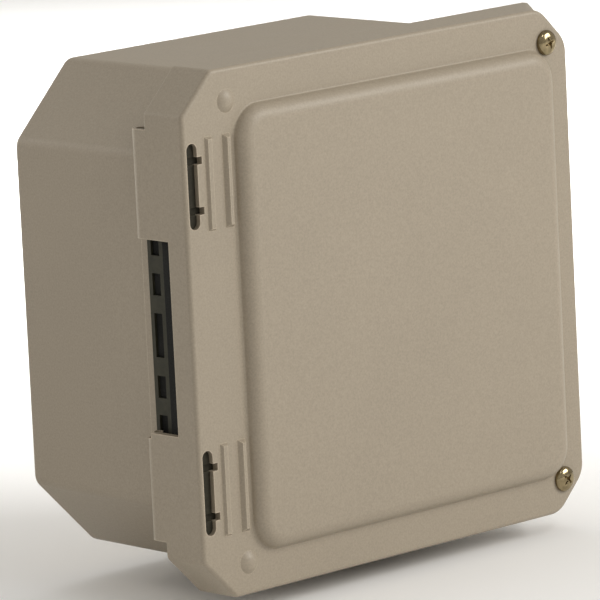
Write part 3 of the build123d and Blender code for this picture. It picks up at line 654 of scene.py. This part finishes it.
machined_brass = worked_metal("machined_brass", (0.66, 0.50, 0.22), (0.48, 0.33, 0.14), gloss=0.26,
                              drawn=(0.12, 1.0, 1.0))
refinish(machined_brass, "ground_bar")
refinish(dark_nylon, "bar_standoffs")
refinish(bright_zinc, "bar_screws")
green_insulation = moulded_resin("green_insulation", (0.02, 0.21, 0.06), (0.4, 0.4, 0.4),
                                 grain_height=0.00001, grain_scale=1800.0, gloss=0.33, mottle=0.04)
refinish(green_insulation, "ground_link")


# ---- Conduit hub, its seal and locknut ---------------------------------------------------------
# The hub in the underside is die-cast zinc with a cut inside thread. A rubber ring seals it to the
# case, and a stamped locknut draws it up from inside.

cast_zinc = worked_metal("cast_zinc", (0.52, 0.53, 0.54), (0.38, 0.39, 0.40), gloss=0.42, marks=0.2)
refinish(cast_zinc, "conduit_hub")
refinish(bright_zinc, "hub_locknut")

hub_low, hub_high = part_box("conduit_hub")
hub_x, hub_y = (hub_low.x + hub_high.x) / 2, (hub_low.y + hub_high.y) / 2
thread_bore, thread_deep, thread_pitch, thread_long = 0.0132, 0.0007, 0.0018, 0.0095
thread_above_mouth, thread_in_wall = 0.0003, 0.0002


def inside_thread(turn, height):
    """Radius of a thread in a bore: the bore less a ridge that climbs one pitch in each turn, fading out
    at both ends."""
    phase = np.mod(height / thread_pitch - turn / (2 * math.pi), 1.0)
    ridge = 1 - np.abs(2 * phase - 1)
    fade = np.clip(np.minimum(height, thread_long - height) / thread_pitch, 0, 1)
    return thread_bore - thread_deep * ridge * fade


def smooth_finish(piece, material):
    """Shades a piece smoothly and gives it its material."""
    piece.data.polygons.foreach_set("use_smooth", [True] * len(piece.data.polygons))
    piece.data.materials.append(material)


heights = np.linspace(0, thread_long, 60)
turns = np.linspace(0, 2 * math.pi, 96, endpoint=False)
height, turn = np.meshgrid(heights, turns, indexing="ij")
radius = inside_thread(turn, height)
# the ring closes on itself inside the hub's wall
height = np.vstack([height, height[::-1][[0, -1]]])
turn = np.vstack([turn, turn[[0, -1]]])
radius = np.vstack([radius, np.full((2, len(turns)), thread_bore + thread_in_wall)])
hub_thread = grid_mesh("hub_thread", hub_x + radius * np.cos(turn), hub_y + radius * np.sin(turn),
                       hub_low.z + thread_above_mouth + height, close_u=True, close_v=True)
smooth_finish(hub_thread, worked_metal("cut_thread", (0.60, 0.61, 0.61), (0.46, 0.47, 0.48), gloss=0.28))
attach(hub_thread, "case")


def closed_cell_foam(name, colour):
    """Black rubber foam: skin with small open cells, a dusty bloom in patches, quite matt."""
    material = bpy.data.materials.new(name)
    material.use_nodes = True
    tree = material.node_tree
    tree.nodes.clear()

    place = tree.nodes.new("ShaderNodeTexCoord")
    place.label, place.location = "place on the foam", (-1200, 0)
    cells = tree.nodes.new("ShaderNodeTexVoronoi")
    cells.label, cells.location = "foam cells", (-950, -100)
    bloom = tree.nodes.new("ShaderNodeTexNoise")
    bloom.label, bloom.location = "dusty bloom", (-950, 200)
    patch = tree.nodes.new("ShaderNodeMapRange")
    patch.label, patch.location = "patches of bloom", (-700, 200)
    tint = tree.nodes.new("ShaderNodeMix")
    tint.label, tint.location = "foam and bloom", (-450, 200)
    bump = tree.nodes.new("ShaderNodeBump")
    bump.label, bump.location = "cell relief", (-450, -100)
    shader = tree.nodes.new("ShaderNodeBsdfPrincipled")
    shader.label, shader.location = "foam", (-150, 100)
    result = tree.nodes.new("ShaderNodeOutputMaterial")
    result.label, result.location = "surface", (150, 100)

    for label, members in (("colour", (bloom, patch, tint)), ("relief", (cells, bump))):
        group = tree.nodes.new("NodeFrame")
        group.label = label
        for member in members:
            member.parent = group

    cells.inputs["Scale"].default_value = 1700.0
    bloom.inputs["Scale"].default_value = 60.0
    bloom.inputs["Detail"].default_value = 5.0
    patch.inputs["From Min"].default_value = 0.5
    patch.inputs["From Max"].default_value = 0.9
    tint.data_type = "RGBA"
    tint.inputs["A"].default_value = (*colour, 1)
    tint.inputs["B"].default_value = (0.026, 0.026, 0.025, 1)
    bump.inputs["Strength"].default_value = 0.7
    bump.inputs["Distance"].default_value = 0.00018
    shader.inputs["Roughness"].default_value = 0.86
    shader.inputs["Specular IOR Level"].default_value = 0.25

    for texture in (cells, bloom):
        tree.links.new(place.outputs["Object"], texture.inputs["Vector"])
    tree.links.new(bloom.outputs["Fac"], patch.inputs["Value"])
    tree.links.new(patch.outputs["Result"], tint.inputs["Factor"])
    tree.links.new(tint.outputs["Result"], shader.inputs["Base Color"])
    tree.links.new(cells.outputs["Distance"], bump.inputs["Height"])
    tree.links.new(bump.outputs["Normal"], shader.inputs["Normal"])
    tree.links.new(shader.outputs["BSDF"], result.inputs["Surface"])
    return material


black_foam_and_painted_shade = closed_cell_foam("black_foam_and_painted_shade", (0.010, 0.010, 0.009))
refinish(black_foam_and_painted_shade, "hub_gasket")


# ---- Hinge strip, pins and foam ----------------------------------------------------------------
# The strip is punched from sheet and blackened, and riveted to the case's side. Black foam over its front
# part and rivets, and behind its punched holes, is painted shade for the recess under the skirt. Steel
# pins join it to the cover.

blackened_strip = worked_metal("blackened_strip", (0.024, 0.023, 0.013), (0.036, 0.034, 0.020), gloss=0.58,
                               drawn=(1.0, 1.0, 0.1), metallic=0.0, marks=0.08, shine=0.28)
refinish(blackened_strip, "hinge_strip")
# painted shade: the seal and backing are black sheets where the recess under the skirt and the holes are
# only in shade
refinish(black_foam_and_painted_shade, "strip_seal", "strip_backing")
refinish(bright_zinc, "hinge_rivets", "hinge_pins")


# ---- Cover, its gasket and slot clips ----------------------------------------------------------
# The cover is moulded from the case's resin. A foam gasket is stuck inside its rim, and two nylon
# clips fill the slots over the hinge.

refinish(moulded_resin("cover_resin", resin_beige, (0.83, 0.47, 0.21)), "cover")
refinish(dark_nylon, "hinge_slot_clips")

gasket_low, gasket_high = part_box("cover_gasket")
gasket_wide, gasket_bend, corner_cut = 0.0054, 0.006, 0.0308
# two less the root of two, and the root of two less one: how an inset shortens a 45 degree corner
cut_inset, bend_inset = 0.586, 0.414
middle_x, middle_z = (gasket_low.x + gasket_high.x) / 2, (gasket_low.z + gasket_high.z) / 2
half_x = (gasket_high.x - gasket_low.x) / 2 - gasket_wide / 2
half_z = (gasket_high.z - gasket_low.z) / 2 - gasket_wide / 2


def gasket_path(samples):
    """Eight arcs of radius gasket_bend, one at each corner of the cut-cornered rectangle; the straight runs
    join them. Returns the points and the outward direction at each."""
    corner = corner_cut - cut_inset * gasket_wide / 2
    inner_x, inner_z, shrink = half_x - gasket_bend, half_z - gasket_bend, bend_inset * gasket_bend
    centre = np.array([(inner_x, half_z - corner - shrink), (half_x - corner - shrink, inner_z),
                       (-half_x + corner + shrink, inner_z), (-inner_x, half_z - corner - shrink),
                       (-inner_x, -half_z + corner + shrink), (-half_x + corner + shrink, -inner_z),
                       (half_x - corner - shrink, -inner_z), (inner_x, -half_z + corner + shrink)])
    angle = np.radians(45 * np.arange(8))[:, None] + np.radians(np.linspace(0, 45, samples))[None, :]
    out = np.stack([np.cos(angle), np.sin(angle)], -1)
    return (centre[:, None, :] + gasket_bend * out).reshape(-1, 2), out.reshape(-1, 2)


def foam_section(turn):
    """A rounded rectangle: a superellipse of power 4, so the foam's corners are soft."""
    across = np.sign(np.cos(turn)) * np.abs(np.cos(turn)) ** 0.5 * gasket_wide / 2
    deep = np.sign(np.sin(turn)) * np.abs(np.sin(turn)) ** 0.5 * (gasket_high.y - gasket_low.y) / 2
    return across, deep


path, out = gasket_path(9)
across, deep = foam_section(np.linspace(0, 2 * math.pi, 24, endpoint=False))
spread = path[:, None, :] + across[None, :, None] * out[:, None, :]
cover_gasket = grid_mesh("foam_gasket", middle_x + spread[..., 0],
                         (gasket_low.y + gasket_high.y) / 2 + np.tile(deep, (len(path), 1)),
                         middle_z + spread[..., 1], close_u=True, close_v=True)
smooth_finish(cover_gasket, black_foam_and_painted_shade)
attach(cover_gasket, "lid")
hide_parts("cover_gasket")


# ---- Cover screws, inserts and retaining rings -------------------------------------------------
# Two pan head screws with cross recesses, zinc plated and yellow passivated. Each runs in a brass
# insert moulded into the case's ear, and a nylon ring keeps it in the cover.

def shell_of_rings(name, x, y, z):
    """A closed mesh from rings: rows of points closed round, with the first and last row shut by a fan
    to their middle point."""
    rows, columns = x.shape
    points = np.stack([x, y, z], -1).reshape(-1, 3)
    poles = np.stack([points[:columns].mean(0), points[-columns:].mean(0)])
    index = np.arange(rows * columns).reshape(rows, columns)
    index = np.hstack([index, index[:, :1]])
    quads = np.stack([index[:-1, :-1], index[:-1, 1:], index[1:, 1:], index[1:, :-1]], -1).reshape(-1, 4)
    first = np.stack([np.full(columns, rows * columns), index[0, 1:], index[0, :-1]], -1)
    last = np.stack([np.full(columns, rows * columns + 1), index[-1, :-1], index[-1, 1:]], -1)
    return linked_mesh(name, np.vstack([points, poles]), quads.tolist() + first.tolist() + last.tolist())


screw_low, screw_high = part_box("cover_screw_top")
head_r, rim_high = (screw_high.x - screw_low.x) / 2, 0.0006
screw_long = 0.027
head_high = screw_high.y - screw_low.y - screw_long
recess_long, recess_wide, recess_deep, recess_turn = 0.0028, 0.00062, 0.0019, 0.5
wing_side, wing_end, well_r, well_side = 0.00018, 0.0006, 0.0011, 0.0003
shank_r, root_r, screw_pitch = 0.0024, 0.0019, 0.00106
thread_start, thread_fade_in, thread_stop, thread_fade_out = 0.0045, 0.001, 0.0006, 0.0012
end_chamfer = 0.0009


def cross_recess(radius, turn):
    """Depth of the driver's recess: two crossed tapering wings that get shallow towards their ends, and
    a round well where they meet."""
    along, beside = radius * np.cos(turn), radius * np.sin(turn)
    depth = np.zeros_like(radius)
    for run, off in ((along, beside), (beside, along)):
        width = recess_wide * (1 - 0.35 * np.abs(run) / recess_long)
        wing = (np.clip((width - np.abs(off)) / wing_side, 0, 1)
                * np.clip((recess_long - np.abs(run)) / wing_end, 0, 1))
        depth = np.maximum(depth, wing * recess_deep * (1 - 0.45 * np.abs(run) / recess_long))
    return np.maximum(depth, recess_deep * np.clip((well_r - radius) / well_side, 0, 1))


def pan_head(radius):
    """Height of the head's face over its rim: a flattened dome, the root of one less the radius to the
    power 2.4."""
    return rim_high + (head_high - rim_high) * np.sqrt(np.clip(1 - (radius / head_r) ** 2.4, 0, 1))


def screw_thread(turn, height):
    """Radius of a screw's thread: the shank less a groove that moves one pitch in each turn and fades
    out at both ends, and the chamfered end."""
    phase = np.mod(height / screw_pitch + turn / (2 * math.pi), 1.0)
    fade = (np.clip((-height - thread_start) / thread_fade_in, 0, 1)
            * np.clip((height + screw_long - thread_stop) / thread_fade_out, 0, 1))
    chamfer = end_chamfer * (1 - np.clip((height + screw_long) / end_chamfer, 0, 1))
    return shank_r - (shank_r - root_r) * np.abs(2 * phase - 1) * fade - chamfer


turns = np.linspace(0, 2 * math.pi, 96, endpoint=False)
first_ring, recess_reach = 0.0001, 0.0031
face_radii = np.concatenate([
    np.linspace(first_ring, recess_reach, 32),
    recess_reach + (head_r - recess_reach) * np.sin(np.linspace(0, math.pi / 2, 22)[1:])])
face_radius, face_turn = np.meshgrid(face_radii, turns, indexing="ij")
face_height = pan_head(face_radius) - cross_recess(face_radius, face_turn + recess_turn)
# rim, lip, seat and neck under the head, as radius and height
under = np.array([(head_r, 0.00018), (head_r - 0.00015, 0.00003), (shank_r + 0.0002, 0.00003),
                  (shank_r, -0.0003)])
under_radius, under_turn = np.meshgrid(under[:, 0], turns, indexing="ij")
under_height = np.repeat(under[:, 1][:, None], len(turns), 1)
shank_height, shank_turn = np.meshgrid(np.linspace(-0.0008, -screw_long, 190), turns, indexing="ij")
shank_radius = screw_thread(shank_turn, shank_height)
ring_radius = np.vstack([face_radius, under_radius, shank_radius])
ring_height = np.vstack([face_height, under_height, shank_height])
ring_turn = np.vstack([face_turn, under_turn, shank_turn])

yellow_zinc = worked_metal("yellow_zinc", (0.36, 0.29, 0.17), (0.14, 0.11, 0.06), gloss=0.15)
for node, body, drive_turn in (("cover_screw_top", "top_screw", 0.15),
                               ("cover_screw_bottom", "bottom_screw", -0.35)):
    low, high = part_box(node)
    seat = low.y + head_high
    angle = -(ring_turn + drive_turn)
    screw = shell_of_rings(node + "_turned", (low.x + high.x) / 2 + ring_radius * np.cos(angle),
                           seat - ring_height, (low.z + high.z) / 2 + ring_radius * np.sin(angle))
    smooth_finish(screw, yellow_zinc)
    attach(screw, body)
    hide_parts(node)

insert_brass = worked_metal("insert_brass", (0.66, 0.50, 0.22), (0.50, 0.36, 0.15), gloss=0.28)
refinish(insert_brass, "screw_inserts")
refinish(dark_nylon, "screw_retainer_top", "screw_retainer_bottom")
